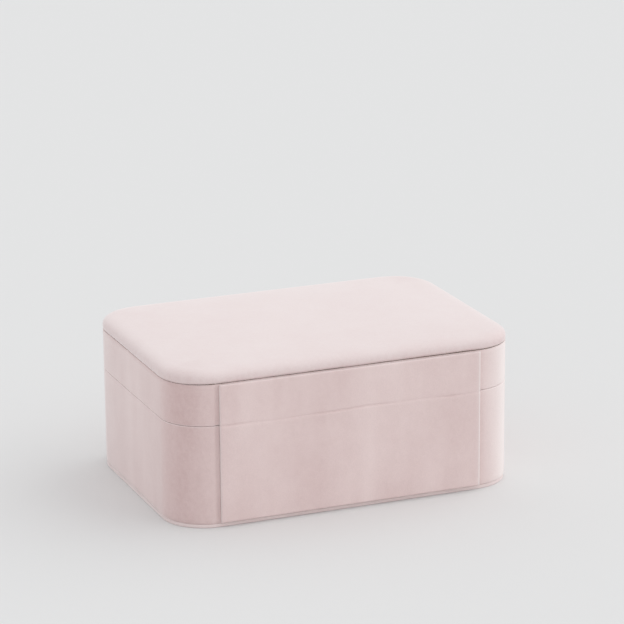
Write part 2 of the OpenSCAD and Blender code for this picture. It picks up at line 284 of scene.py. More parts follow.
def make_nap_group():
    """Velvet pile: soft streaks where it was brushed, blotches and fine fibres, with painted shade on
    the corners and the cushion's rim, and painted highlights on folded edges and two corners.
    """
    group, t, start, end = new_group(
        "velvet_nap",
        [("Colour", COLOUR, (0.7, 0.55, 0.54, 1)), ("Brushed Light", COLOUR, (0.8, 0.68, 0.67, 1)),
         ("Corner Shade Colour", COLOUR, (0.88, 0.83, 0.83, 1)), ("Rim Shade Colour", COLOUR, (0.93, 0.89, 0.89, 1)),
         ("Corner Highlight", COLOUR, (0.95, 0.87, 0.855, 1)),
         ("Mottle", FLOAT, 0.5), ("Streaks", FLOAT, 0.5),
         ("Blotches", FLOAT, 0.4), ("Fold Highlight", FLOAT, 0.5), ("Corner Shade Amount", FLOAT, 1.0)],
        [("Colour", COLOUR), ("Height", FLOAT), ("Roughness", FLOAT)])
    streak = t.spread(t.noise(t.stretched((1.0, 1.0, 0.16)), *STREAK_NOISE), 0.38, 0.66)
    broad = t.spread(t.noise(t.stretched((1.0, 1.0, 0.30)), *BROAD_NOISE), 0.36, 0.66)
    blotch = t.spread(t.noise(t.stretched((1.0, 1.0, 0.8)), *BLOTCH_NOISE), 0.35, 0.68)
    fibre = t.noise(t.stretched((1.0, 1.0, 0.45)), *FIBRE_NOISE)
    mottle = t.noise(t.stretched((1.0, 1.0, 0.9)), *MOTTLE_NOISE)
    both = t.maths("ADD", t.maths("MULTIPLY", streak, STREAK_SHARE),
                   t.maths("MULTIPLY", broad, BROAD_SHARE))
    brushed = t.maths("MULTIPLY", both, start.outputs["Streaks"])
    light = t.maths("MULTIPLY_ADD", blotch, start.outputs["Blotches"], brushed, clamp=True)
    colour = t.mix(light, start.outputs["Colour"], start.outputs["Brushed Light"])
    # Painted shade: darker on the upright corners, from the mesh's corner mask
    corner_shaded = t.maths("MULTIPLY", t.mask("corner_shade"), start.outputs["Corner Shade Amount"], clamp=True)
    colour = t.tint(colour, corner_shaded, start.outputs["Corner Shade Colour"])
    # Painted shade down the cushion's rim, towards the seam
    colour = t.tint(colour, t.mask("rim"), start.outputs["Rim Shade Colour"])
    worn = t.maths("MULTIPLY", t.spread(mottle, 0.36, 0.66), start.outputs["Mottle"])
    colour = t.mix(worn, colour, start.outputs["Brushed Light"])
    # Painted highlight along folded edges
    folded = t.maths("MULTIPLY", t.mask("fold_highlight"), start.outputs["Fold Highlight"], clamp=True)
    colour = t.mix(folded, colour, FOLD_HIGHLIGHT_COLOUR)
    # Painted highlight on the front right and rear left corners
    colour = t.mix(t.mask("corner_highlight"), colour, start.outputs["Corner Highlight"])
    colour = t.speckle(colour, fibre, 0.30, 0.72, 0.955)
    t.link(colour, end.inputs["Colour"])
    height = t.maths("MULTIPLY_ADD", fibre, 0.5, t.maths("MULTIPLY", mottle, 0.5))
    t.link(height, end.inputs["Height"])
    t.link(t.spread(light, 0.0, 1.0, 0.96, 0.80), end.inputs["Roughness"])
    return group


def make_suede_group():
    """Short suede cloth: even colour with faint rubs and a fine tooth."""
    group, t, start, end = new_group(
        "suede_cloth",
        [("Colour", COLOUR, (0.76, 0.62, 0.61, 1)), ("Rubbed", COLOUR, (0.84, 0.73, 0.72, 1)),
         ("Rub", FLOAT, 0.6)],
        [("Colour", COLOUR), ("Height", FLOAT), ("Roughness", FLOAT)])
    rub = t.spread(t.noise(t.stretched((1.0, 1.0, 1.0)), 30.0, 4.0, 0.6), 0.36, 0.68)
    tooth = t.noise(t.stretched((1.0, 1.0, 1.0)), 1900.0, 2.0, 0.55)
    colour = t.mix(t.maths("MULTIPLY", rub, start.outputs["Rub"]), start.outputs["Colour"],
                   start.outputs["Rubbed"])
    t.link(t.speckle(colour, tooth, 0.3, 0.7, 0.95), end.inputs["Colour"])
    t.link(tooth, end.inputs["Height"])
    t.link(t.spread(rub, 0.0, 1.0, 0.97, 0.86), end.inputs["Roughness"])
    return group


def make_metal_group():
    """Brushed plate: long fine scratches and a little tarnish."""
    group, t, start, end = new_group(
        "brushed_plate",
        [("Colour", COLOUR, (0.62, 0.62, 0.63, 1)), ("Tarnish", COLOUR, (0.42, 0.40, 0.38, 1))],
        [("Colour", COLOUR), ("Height", FLOAT), ("Roughness", FLOAT)])
    scratch = t.noise(t.stretched((0.06, 1.0, 1.0)), 5200.0, 3.0, 0.6)
    cloud = t.spread(t.noise(t.stretched((1.0, 1.0, 1.0)), 160.0, 4.0, 0.6), 0.45, 0.75)
    t.link(t.mix(t.maths("MULTIPLY", cloud, 0.5), start.outputs["Colour"],
                 start.outputs["Tarnish"]), end.inputs["Colour"])
    t.link(scratch, end.inputs["Height"])
    t.link(t.maths("ADD", t.spread(scratch, 0.3, 0.7, 0.22, 0.40),
                   t.maths("MULTIPLY", cloud, 0.2)), end.inputs["Roughness"])
    return group


def make_fibre_group():
    """Pressed fibres, for board, foam and fibreboard: flecks on an uneven ground."""
    group, t, start, end = new_group(
        "pressed_fibre",
        [("Colour", COLOUR, (0.5, 0.42, 0.34, 1)), ("Fleck", COLOUR, (0.34, 0.27, 0.2, 1)),
         ("Fleck Scale", FLOAT, 900.0)],
        [("Colour", COLOUR), ("Height", FLOAT), ("Roughness", FLOAT)])
    coords = t.stretched((1.0, 1.0, 2.2))
    fibres = t.noise(coords, start.outputs["Fleck Scale"], 4.0, 0.6)
    fleck = t.spread(fibres, 0.48, 0.70)
    ground = t.noise(coords, 60.0, 3.0, 0.5)
    t.link(t.mix(t.maths("MULTIPLY", fleck, 0.7), start.outputs["Colour"],
                 start.outputs["Fleck"]), end.inputs["Colour"])
    t.link(fibres, end.inputs["Height"])
    t.link(t.spread(ground, 0.3, 0.7, 0.8, 0.95), end.inputs["Roughness"])
    return group


PAINTED_SHEEN_COLOUR = (0.945, 0.885, 0.875, 1.0)
PAINTED_SHEEN_POWER = 5.0


def finish_material(name, group, values, bump, bump_depth, constants, painted_sheen=0.0):
    """Material whose colour, roughness and height come from one group. values are the group's
    inputs, and constants the shader's own. painted_sheen is how far a painted sheen whitens the
    colour where the surface is seen along its face."""
    material = bpy.data.materials.new(name)
    material.use_nodes = True
    t = Tree(material.node_tree)
    shader = material.node_tree.nodes["Principled BSDF"]
    surface = t.node("ShaderNodeGroup", node_tree=group)
    for key, value in values.items():
        surface.inputs[key].default_value = value
    colour = surface.outputs["Colour"]
    # Painted sheen: the colour whitens where the surface is seen edge-on
    if painted_sheen:
        facing = t.node("ShaderNodeLayerWeight", {"Blend": 0.5}).outputs["Facing"]
        painted_sheen_share = t.maths("MULTIPLY", t.maths("POWER", facing, PAINTED_SHEEN_POWER), painted_sheen, clamp=True)
        colour = t.mix(painted_sheen_share, colour, PAINTED_SHEEN_COLOUR)
    t.link(colour, shader.inputs["Base Color"])
    t.link(surface.outputs["Roughness"], shader.inputs["Roughness"])
    bumped = t.node("ShaderNodeBump", {"Strength": bump, "Distance": bump_depth,
                                       "Height": surface.outputs["Height"]})
    t.link(bumped.outputs["Normal"], shader.inputs["Normal"])
    for key, value in constants.items():
        shader.inputs[key].default_value = value
    return material


def make_materials():
    """All finishes, by name."""
    nap = make_nap_group()
    suede = make_suede_group()
    plate = make_metal_group()
    fibre = make_fibre_group()
    pile = {"Sheen Weight": 0.8, "Sheen Roughness": 0.32, "Sheen Tint": (1.0, 0.96, 0.955, 1.0),
            "Specular IOR Level": 0.05}
    soft = {"Sheen Weight": 0.25, "Sheen Roughness": 0.5, "Sheen Tint": (1.0, 0.95, 0.94, 1.0),
            "Specular IOR Level": 0.15}
    bare = {"Specular IOR Level": 0.2}
    made = {}
    made["velvet"] = finish_material(
        "blush_velvet", nap,
        {"Colour": (0.745, 0.583, 0.570, 1), "Brushed Light": (0.865, 0.718, 0.702, 1),
         "Mottle": 0.2, "Streaks": 0.65, "Blotches": 0.3, "Fold Highlight": 0.95},
        bump=0.3, bump_depth=0.00025, constants=pile, painted_sheen=0.6)
    # Painted light: the same velvet made lighter for the cushion, whose top is lit from above and
    # seen along its face
    made["pad_velvet"] = finish_material(
        "blush_velvet_pad_painted_light", nap,
        {"Colour": (0.835, 0.715, 0.705, 1), "Brushed Light": (0.880, 0.785, 0.775, 1),
         "Mottle": 0.3, "Streaks": 0.15, "Blotches": 0.4, "Fold Highlight": 0.4, "Corner Shade Amount": 0.3},
        bump=0.3, bump_depth=0.0003, constants=pile, painted_sheen=0.75)
    made["roll_velvet"] = finish_material(
        "ring_roll_velvet", nap,
        {"Colour": (0.78, 0.62, 0.61, 1), "Brushed Light": (0.87, 0.72, 0.71, 1),
         "Mottle": 0.3, "Streaks": 0.3, "Blotches": 0.5, "Fold Highlight": 0.5},
        bump=0.3, bump_depth=0.0003, constants=pile, painted_sheen=0.6)
    made["suede"] = finish_material(
        "blush_suede", suede,
        {"Colour": (0.80, 0.665, 0.655, 1), "Rubbed": (0.87, 0.755, 0.745, 1), "Rub": 0.7},
        bump=0.2, bump_depth=0.0002, constants=soft)
    made["ribbon"] = finish_material(
        "satin_ribbon", suede,
        {"Colour": (0.62, 0.44, 0.44, 1), "Rubbed": (0.72, 0.56, 0.56, 1), "Rub": 0.5},
        bump=0.15, bump_depth=0.0001,
        constants={"Sheen Weight": 0.1, "Specular IOR Level": 0.5})
    made["steel"] = finish_material(
        "brushed_steel", plate, {"Colour": (0.62, 0.61, 0.60, 1)},
        bump=0.12, bump_depth=0.00004, constants={"Metallic": 1.0})
    made["magnet"] = finish_material(
        "plated_magnet", plate, {"Colour": (0.70, 0.70, 0.71, 1)},
        bump=0.05, bump_depth=0.00003, constants={"Metallic": 1.0})
    made["fibreboard"] = finish_material(
        "fibreboard", fibre, {"Colour": (0.40, 0.28, 0.18, 1), "Fleck": (0.25, 0.16, 0.10, 1)},
        bump=0.3, bump_depth=0.0002, constants=bare)
    made["board"] = finish_material(
        "grey_board", fibre,
        {"Colour": (0.36, 0.34, 0.31, 1), "Fleck": (0.22, 0.21, 0.20, 1), "Fleck Scale": 1500.0},
        bump=0.25, bump_depth=0.0001, constants=bare)
    made["foam"] = finish_material(
        "cushion_foam", fibre,
        {"Colour": (0.80, 0.78, 0.68, 1), "Fleck": (0.62, 0.59, 0.49, 1), "Fleck Scale": 700.0},
        bump=0.5, bump_depth=0.0004, constants=bare)
    made["mirror"] = make_mirror_material()
    return made


def make_mirror_material():
    """Silvered glass with faint wiping marks."""
    material = bpy.data.materials.new("silvered_glass")
    material.use_nodes = True
    t = Tree(material.node_tree)
    shader = material.node_tree.nodes["Principled BSDF"]
    wipe = t.noise(t.stretched((1.0, 0.35, 1.0)), 45.0, 4.0, 0.6)
    t.link(t.spread(wipe, 0.40, 0.75, 0.015, 0.07), shader.inputs["Roughness"])
    t.link(t.mix(t.spread(wipe, 0.4, 0.8), (0.90, 0.925, 0.92, 1.0), (0.86, 0.885, 0.885, 1.0)),
           shader.inputs["Base Color"])
    shader.inputs["Metallic"].default_value = 1.0
    return material


# ------------------------------------------------------------------ mesh helpers

# Painted shade on the upright corners: how sharply it grows, and its share on the soft corners
CORNER_SHADE_POWER = 1.5
SOFT_CORNER_SHADE = 0.25
# Painted highlight at the front right and rear left corners, where on the corner's turn it starts
# and over how much of the turn it grows, and how fast it falls off along the side
CORNER_HIGHLIGHT_MOST = 0.85
CORNER_HIGHLIGHT_REAR = 0.3
CORNER_HIGHLIGHT_START = 0.02
CORNER_HIGHLIGHT_GROWTH = 0.45
CORNER_HIGHLIGHT_FALL = 1.2


def corner_place(x, y):
    """How far a point is into a corner's square, across and along, as shares of its radius."""
    return ((abs(x) - (BOX_W / 2 - CORNER_R)) / CORNER_R,
            (abs(y) - (BOX_D / 2 - CORNER_R)) / CORNER_R)


def shade_on_corner(x, y):
    """1 where painted shade darkens an upright corner, falling to 0 on the flat sides."""
    dx, dy = corner_place(x, y)
    if dx <= 0.0 or dy <= 0.0:
        return 0.0
    angle = math.atan2(dy, dx) / (math.pi / 2)
    pull = math.sin(math.pi * angle) ** CORNER_SHADE_POWER
    return pull * (SOFT_CORNER_SHADE if x * y < 0.0 else 1.0)


def highlight_on_corner(x, y):
    """How much a painted highlight lightens the velvet: at the front right corner, and less at
    the rear left one."""
    dx, dy = corner_place(x, y)
    if x * y > 0.0 or dx <= 0.0:
        return 0.0
    turn = math.atan2(dx, max(dy, 0.0)) / (math.pi / 2)
    along = math.exp(-max(-dy, 0.0) * CORNER_HIGHLIGHT_FALL)
    most = CORNER_HIGHLIGHT_MOST if x > 0.0 else CORNER_HIGHLIGHT_REAR
    return most * min(1.0, max(0.0, (turn - CORNER_HIGHLIGHT_START) / CORNER_HIGHLIGHT_GROWTH)) * along


def make_object(name, points, faces, material, masks=None):
    """New object from points and faces, with outward normals; masks are point values by name."""
    mesh = bpy.data.meshes.new(name)
    mesh.from_pydata([tuple(p) for p in points], [], faces)
    for title, values in (masks or {}).items():
        layer = mesh.attributes.new(title, "FLOAT", "POINT")
        layer.data.foreach_set("value", values)
    face_outwards(mesh)
    mesh.materials.append(material)
    return new_object(name, mesh)


def face_outwards(mesh):
    """Turn every face outwards and shade it smooth."""
    work = bmesh.new()
    work.from_mesh(mesh)
    bmesh.ops.recalc_face_normals(work, faces=work.faces)
    for face in work.faces:
        face.smooth = True
    work.to_mesh(mesh)
    work.free()


def bake_modifiers(piece):
    """Put the shape that the piece's modifiers give into its mesh, and take them off."""
    shaped = piece.evaluated_get(bpy.context.evaluated_depsgraph_get())
    mesh = bpy.data.meshes.new_from_object(shaped)
    mesh.name = piece.name
    piece.modifiers.clear()
    piece.data = mesh


def even_shares(steps):
    """Shares from 0 to 1 in equal steps."""
    return [step / steps for step in range(steps + 1)]


# Shares of a corner's sweep, close together at both ends
NEAR_ENDS = [0.0, 0.012, 0.025, 0.04, 0.058, 0.08, 0.105, 0.14, 0.18, 0.23, 0.30, 0.38, 0.46]
WALL_CORNER = NEAR_ENDS + [1.0 - share for share in reversed(NEAR_ENDS)]


def outline(inset, width=None, depth=None, radius=None, along=26, across=18, corner=12):
    """Points of a rounded rectangle, anticlockwise from the front right corner, with normals.
    corner is a number of equal steps, or the shares of the corner's sweep."""
    shares = even_shares(corner) if isinstance(corner, int) else corner
    half_w = (BOX_W if width is None else width) / 2 - inset
    half_d = (BOX_D if depth is None else depth) / 2 - inset
    r = max((CORNER_R if radius is None else radius) - inset, 0.0)
    points = []
    corners = [(1, -1, -90), (1, 1, 0), (-1, 1, 90), (-1, -1, 180)]
    for number, (sx, sy, start) in enumerate(corners):
        cx, cy = sx * (half_w - r), sy * (half_d - r)
        for share in shares:
            angle = math.radians(start + 90.0 * share)
            points.append((cx + r * math.cos(angle), cy + r * math.sin(angle),
                           math.cos(angle), math.sin(angle)))
        straight = across if number % 2 == 0 else along
        nx_sign, ny_sign, _ = corners[(number + 1) % 4]
        nx, ny = nx_sign * (half_w - r), ny_sign * (half_d - r)
        angle = math.radians(start + 90)
        x0, y0 = cx + r * math.cos(angle), cy + r * math.sin(angle)
        x1, y1 = nx + r * math.cos(angle), ny + r * math.sin(angle)
        for step in range(1, straight):
            share = step / straight
            points.append((x0 + (x1 - x0) * share, y0 + (y1 - y0) * share,
                           math.cos(angle), math.sin(angle)))
    return points


def ring_faces(rings, count, closed):
    """Quads between rings of equal count; closed joins the last ring to the first."""
    faces = []
    pairs = rings if closed else rings - 1
    for ring in range(pairs):
        a, b = ring * count, ((ring + 1) % rings) * count
        for step in range(count):
            after = (step + 1) % count
            faces.append((a + step, a + after, b + after, b + step))
    return faces


def stacked(rings):
    """Points and faces of a closed solid made of rings, each given as (inset, height)."""
    points = [(x, y, height) for inset, height in rings for x, y, _, _ in outline(inset)]
    count = len(points) // len(rings)
    faces = ring_faces(len(rings), count, False)
    faces.append(tuple(range(count)))
    faces.append(tuple(range(len(points) - count, len(points))))
    return points, faces


def slab_faces(wide, tall):
    """Faces that join two grids of wide by tall points, one behind the other, and their edges."""
    faces = []
    back = wide * tall
    for j in range(tall - 1):
        for i in range(wide - 1):
            a = j * wide + i
            b = back + a
            faces.append((a, a + 1, a + 1 + wide, a + wide))
            faces.append((b, b + wide, b + 1 + wide, b + 1))
        for a in (j * wide, j * wide + wide - 1):
            faces.append((a, a + wide, back + a + wide, back + a))
    for i in range(wide - 1):
        for a in (i, (tall - 1) * wide + i):
            faces.append((a, a + 1, back + a + 1, back + a))
    return faces


def soft_shift(x, y, z, size, amount, seed):
    """Smooth bump between -amount and +amount, the same on every run."""
    return amount * noise.noise(Vector((x / size + seed, y / size - seed, z / size)))


def pressed_in(x, y):
    """How far the wall's cloth sinks beside the front panel's two upright edges."""
    if y > 0.0:
        return 0.0
    away = (abs(x) - FLAP_HIGH.x - GROOVE_AWAY) / GROOVE_HALF
    return (GROOVE_IN if x < 0.0 else GROOVE_IN / 5) * math.exp(-away * away)


def wrap(name, profile, folds, ripple, material):
    """Closed band of cloth around the box. profile is a closed loop of (inset, height);
    folds are the numbers of the profile's points that lie on a folded edge; ripple is how far
    the cloth waves in and out."""
    points, fold_highlight, corner_shade, corner_highlight = [], [], [], []
    for number, (inset, height) in enumerate(profile):
        for x, y, nx, ny in outline(inset, corner=WALL_CORNER):
            push = soft_shift(x, y, height, WALL_WAVE, ripple, WALL_SEED)
            if inset < CLOTH_IN / 2:
                push -= pressed_in(x, y)
            points.append((x + nx * push, y + ny * push, height))
            # Painted highlight on the folded parting edge
            fold_highlight.append(PARTING_HIGHLIGHT if number in folds else 0.0)
            # Painted shade on the upright corners
            corner_shade.append(shade_on_corner(x, y))
            # Painted highlight on the front right and rear left corners
            corner_highlight.append(highlight_on_corner(x, y))
    count = len(points) // len(profile)
    return make_object(name, points, ring_faces(len(profile), count, True), material,
                       {"fold_highlight": fold_highlight, "corner_shade": corner_shade, "corner_highlight": corner_highlight})


def rounded_block(name, low, high, radius, material, segments):
    """Block with all its edges rounded."""
    work = bmesh.new()
    bmesh.ops.create_cube(work, size=1.0)
    middle = (low + high) / 2
    size = high - low
    for vert in work.verts:
        vert.co = Vector((middle.x + vert.co.x * size.x, middle.y + vert.co.y * size.y,
                          middle.z + vert.co.z * size.z))
    bmesh.ops.bevel(work, geom=list(work.edges), offset=radius, segments=segments, profile=0.5,
                    affect="EDGES")
    for face in work.faces:
        face.smooth = True
    mesh = bpy.data.meshes.new(name)
    work.to_mesh(mesh)
    work.free()
    mesh.materials.append(material)
    return new_object(name, mesh)


def quarter(cx, cz, r, start, steps, sweep):
    """Points on an arc in the (inset, height) plane, from a start angle in degrees."""
    return [(cx + r * math.cos(math.radians(start + sweep * k / steps)),
             cz + r * math.sin(math.radians(start + sweep * k / steps))) for k in range(steps + 1)]


# ------------------------------------------------------------------ the velvet covers

EDGE_R = 0.8 * MM
EDGE_PLUMP = 0.2 * MM
GROOVE_IN = 0.8 * MM
GROOVE_AWAY = 1.2 * MM
GROOVE_HALF = 1.8 * MM
CLOTH_IN = 1.2 * MM
NOTCH_R = 2.85 * MM
NOTCH_END = 0.35 * MM
# Painted highlight on the folded parting edges
INNER_EDGE_SHARE = 0.6
PARTING_HIGHLIGHT = 0.3
WALL_WAVE = 0.05
WALL_SEED = 3.1
BASE_RIPPLE = 0.22 * MM
LID_RIPPLE = 0.15 * MM
# Last height of the cloth by the bottom board or the cushion, and where its even steps start
BASE_CUT, BASE_START, BASE_STEPS = 0.7 * MM, 4 * MM, 14
LID_CUT, LID_START, LID_STEPS = 0.1 * MM, 3 * MM, 7
BASE_CUT_IN = 0.35 * MM
LID_CUT_IN = 0.2 * MM
PLUMP_BAND = 2 * MM


def wall_outside(cut, start, end, steps):
    """Points along a wall's outside: its cut edge, then even steps from start towards end."""
    return [(0.0, cut)] + [(0.0, start + (end - start) * k / steps) for k in range(steps)]


def turned_loop(outside, edge, far, cut_in, up):
    """Loop of a wall's velvet, and the numbers of its folded points. The cloth turns in over the
    parting edge and lies behind itself as far as the height far, where its cut edge is cut_in
    deep. up is 1 where it turns in at its top, and -1 where it turns in at its bottom."""
    small = EDGE_R * INNER_EDGE_SHARE
    behind = edge - up * CLOTH_IN
    loop = outside + quarter(EDGE_R, edge - up * EDGE_R, EDGE_R, 180.0, 5, -90.0 * up)
    loop += quarter(CLEAR_IN - small, edge - up * small, small, 90.0 * up, 3, -90.0 * up)
    loop += [(CLEAR_IN, behind), (CLOTH_IN, behind), (CLOTH_IN, far), (cut_in, far)]
    loop = [(i, z + (up * EDGE_PLUMP if abs(z - edge) < PLUMP_BAND else 0.0)) for i, z in loop]
    return loop, range(len(outside) + 1, len(outside) + 5)


def cut_hinge_notches(cover):
    """Cut the cloth away around both hinge barrels, where the wall is notched too."""
    work = bmesh.new()
    for side in ("left", "right"):
        low, high = span(f"hinge_pin_{side}")
        centre = (low + high) / 2
        size = Vector((high.x - low.x + 2 * NOTCH_END, 2 * NOTCH_R, 2 * NOTCH_R))
        made = bmesh.ops.create_cube(work, size=1.0)
        for vert in made["verts"]:
            vert.co = centre + Vector(vert.co[k] * size[k] for k in range(3))
    mesh = bpy.data.meshes.new("notch_cutter")
    work.to_mesh(mesh)
    work.free()
    cutter = new_object("notch_cutter", mesh)
    cut = cover.modifiers.new("notches", "BOOLEAN")
    cut.operation = "DIFFERENCE"
    cut.solver = "EXACT"
    cut.object = cutter
    bake_modifiers(cover)
    bpy.data.objects.remove(cutter)


def make_base_cover(materials):
    """Velvet of the base's walls, turned in over their top edge."""
    low = COVER_LOW.z
    outside = wall_outside(low + BASE_CUT, low + BASE_START, BASE_TOP - EDGE_R, BASE_STEPS)
    loop, folds = turned_loop(outside, BASE_TOP, low, BASE_CUT_IN, 1)
    cover = wrap("base_velvet", loop, folds, BASE_RIPPLE, materials["velvet"])
    cut_hinge_notches(cover)
    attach(cover, "base")
    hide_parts("base_cover")


def make_lid_cover(materials):
    """Velvet of the lid's walls, turned in under their bottom edge."""
    high = LID_HIGH.z
    outside = wall_outside(high - LID_CUT, high - LID_START, LID_BOTTOM + EDGE_R, LID_STEPS)
    loop, folds = turned_loop(outside, LID_BOTTOM, high, LID_CUT_IN, -1)
    cover = wrap("lid_velvet", loop, folds, LID_RIPPLE, materials["velvet"])
    cut_hinge_notches(cover)
    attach(cover, "lid")
    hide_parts("lid_cover")


WELT_R = 0.7 * MM
# Painted highlight on the bottom board's welt
WELT_HIGHLIGHT = 0.35
WELT_RINGS = range(6, 11)


def make_base_plate(materials):
    """Bottom board, wrapped so that its edge is a thin rounded welt under the walls."""
    high = PLATE_HIGH.z
    edge = (BOX_W - (PLATE_HIGH.x - PLATE_LOW.x)) / 2
    rings = [(8 * MM, 0.25 * MM), (7 * MM, 0.0), (3 * MM, 0.0)]
    rings += quarter(edge + WELT_R, WELT_R, WELT_R, 270.0, 4, -90.0)
    rings += quarter(edge + WELT_R, high - WELT_R - 0.15 * MM, WELT_R, 180.0, 4, -90.0)
    rings += [(4 * MM, high - 0.05 * MM)]
    points, faces = stacked(rings)
    count = len(points) // len(rings)
    fold_highlight = [WELT_HIGHLIGHT if point // count in WELT_RINGS else 0.0 for point in range(len(points))]
    plate = make_object("bottom_board_cover", points, faces, materials["velvet"],
                        {"fold_highlight": fold_highlight})
    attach(plate, "base")
    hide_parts("base_plate")


# ------------------------------------------------------------------ the padded top

# Rim of the cushion: inset from the outline and height above the seam, in millimetres
PAD_RIM = [(1.4, 0.0), (0.7, 0.05), (0.2, 0.35), (-0.05, 0.95), (-0.25, 1.75), (-0.35, 2.8),
           (-0.25, 4.0), (0.1, 5.2), (0.85, 6.25), (1.95, 7.1), (3.4, 7.75), (5.3, 8.2),
           (8.0, 8.5)]
# How much further in and up the first rings lie where the seam gapes most, in millimetres
SEAM_GAPE = [(1.3, 0.0), (1.0, 0.15), (0.7, 0.25), (0.35, 0.2)]
PAD_ALONG, PAD_ACROSS, PAD_ARC = 42, 26, 10
PAD_CROWN = 2.2 * MM
CROWN_POWER = 4.0
RIM_SHADE_H = 5.0 * MM
HELD_RINGS = 9
PRESSURE = 4.0
SWELL_LIMIT = 0.5 * MM
SWELL_FRAMES = 20
# Height on the rim, in millimetres, from which the crown is added, and over how much it grows
CROWN_FROM = 7.0
CROWN_GROWTH = 1.5
# How much the seam gapes everywhere, more along the front, and unevenly
GAPE_LEAST = 0.05
GAPE_FRONT = 0.7
GAPE_WANDER = 0.4
GAPE_WAVE = 24 * MM
GAPE_REACH = 12 * MM
GAPE_GROWTH = 10 * MM
GAPE_SEED = 4.7


def crown_height(x, y):
    """Gentle rise of the cushion towards its middle, before the cloth is blown up."""
    u = min(abs(x) / (BOX_W / 2), 1.0)
    v = min(abs(y) / (BOX_D / 2), 1.0)
    return PAD_CROWN * (1 - u ** CROWN_POWER) * (1 - v ** CROWN_POWER)


def pad_ring(inset):
    """Ring of the cushion's rim."""
    return outline(inset, along=PAD_ALONG, across=PAD_ACROSS, corner=PAD_ARC)


def seam_gape(x, y):
    """How far the seam under the cushion gapes: most along the front, and unevenly."""
    front = min(1.0, max(0.0, (-y - BOX_D / 2 + GAPE_REACH) / GAPE_GROWTH))
    wander = noise.noise(Vector((x / GAPE_WAVE, y / GAPE_WAVE, GAPE_SEED)))
    return max(0.0, GAPE_LEAST + GAPE_FRONT * front + GAPE_WANDER * wander)


def filling_grid(border, first, wide, tall):
    """Inner points and the faces that fill a closed border of 2 (wide + tall) points with even
    quads. The border starts at its front right corner; first is its first point's number."""
    start = PAD_ARC // 2
    total = len(border)

    def edge(side, step):
        offset = {"right": step, "back": tall + wide - step,
                  "left": 2 * tall + wide - step, "front": 2 * tall + wide + step}[side]
        return (start + offset) % total

    def place(side, step):
        return Vector(border[edge(side, step)])

    inner = []
    for j in range(1, tall):
        v = j / tall
        for i in range(1, wide):
            u = i / wide
            across = place("front", i) * (1 - v) + place("back", i) * v
            along = place("left", j) * (1 - u) + place("right", j) * u
            ends = (place("front", 0) * (1 - u) + place("front", wide) * u) * (1 - v)
            ends += (place("back", 0) * (1 - u) + place("back", wide) * u) * v
            inner.append(across + along - ends)

    def number(i, j):
        if j == 0:
            return first + edge("front", i)
        if j == tall:
            return first + edge("back", i)
        if i == 0:
            return first + edge("left", j)
        if i == wide:
            return first + edge("right", j)
        return first + total + (j - 1) * (wide - 1) + i - 1

    faces = [(number(i, j), number(i + 1, j), number(i + 1, j + 1), number(i, j + 1))
             for j in range(tall) for i in range(wide)]
    return inner, faces


def make_pad_mesh(material):
    """Closed cushion: a rounded rim of rings, a flat underside, and a top filled with even quads."""
    points = []
    for number, (inset, height) in enumerate(PAD_RIM):
        rise = max(0.0, (height - CROWN_FROM) / CROWN_GROWTH)
        deeper, higher = SEAM_GAPE[number] if number < len(SEAM_GAPE) else (0.0, 0.0)
        for x, y, nx, ny in pad_ring(inset * MM):
            gape = seam_gape(x, y)
            x, y = x - nx * deeper * gape * MM, y - ny * deeper * gape * MM
            points.append((x, y, SEAM + (height + higher * gape) * MM
                           + crown_height(x, y) * rise))
    count = len(pad_ring(0.0))
    faces = ring_faces(len(PAD_RIM), count, False)
    faces.append(tuple(range(count)))
    first = (len(PAD_RIM) - 1) * count
    inner, fill = filling_grid(points[first:], first, PAD_ALONG + PAD_ARC, PAD_ACROSS + PAD_ARC)
    base = SEAM + PAD_RIM[-1][1] * MM
    points += [(p.x, p.y, base + crown_height(p.x, p.y)) for p in inner]
    faces += fill
    # Painted shade: darker down the cushion's rim towards the seam
    rim = [max(0.0, min(1.0, (base - p[2]) / RIM_SHADE_H)) for p in points]
    # Painted shade on the cushion's corners
    corner_shade = [shade_on_corner(p[0], p[1]) for p in points]
    return make_object("pad_velvet_cushion", points, faces, material,
                       {"rim": rim, "corner_shade": corner_shade}), count


def swell(piece, held):
    """Blow the top of the cushion up as cloth, with its first points held, and cap the rise."""
    start = [vert.co.copy() for vert in piece.data.vertices]
    sheet_mesh = bpy.data.meshes.new("swelling_top")
    faces = [[n - held for n in face.vertices] for face in piece.data.polygons
             if min(face.vertices) >= held]
    sheet_mesh.from_pydata(start[held:], [], faces)
    sheet = new_object("swelling_top", sheet_mesh)
    group = sheet.vertex_groups.new(name="held")
    group.add(list(range(len(pad_ring(0.0)))), 1.0, "REPLACE")
    cloth = sheet.modifiers.new("cloth", "CLOTH")
    settings = cloth.settings
    settings.quality = 5
    settings.mass = 0.3
    settings.use_pressure = True
    settings.uniform_pressure_force = PRESSURE
    settings.vertex_group_mass = "held"
    settings.effector_weights.gravity = 0.0
    cloth.point_cache.frame_start = 1
    cloth.point_cache.frame_end = SWELL_FRAMES
    scene = bpy.context.scene
    for number in range(1, SWELL_FRAMES + 1):
        scene.frame_set(number)
    shaped = sheet.evaluated_get(bpy.context.evaluated_depsgraph_get())
    steps = [after.co - before for before, after in zip(start[held:], shaped.data.vertices)]
    most = max(step.length for step in steps)
    scene.frame_set(1)
    bpy.data.objects.remove(sheet)
    share = min(1.0, SWELL_LIMIT / most)
    for vert, step in zip(piece.data.vertices[held:], steps):
        vert.co += step * share


def subdivide_smooth(piece, levels):
    """Bake a subdivision surface into the piece's mesh."""
    modifier = piece.modifiers.new("smooth", "SUBSURF")
    modifier.levels = levels
    modifier.render_levels = levels
    bake_modifiers(piece)


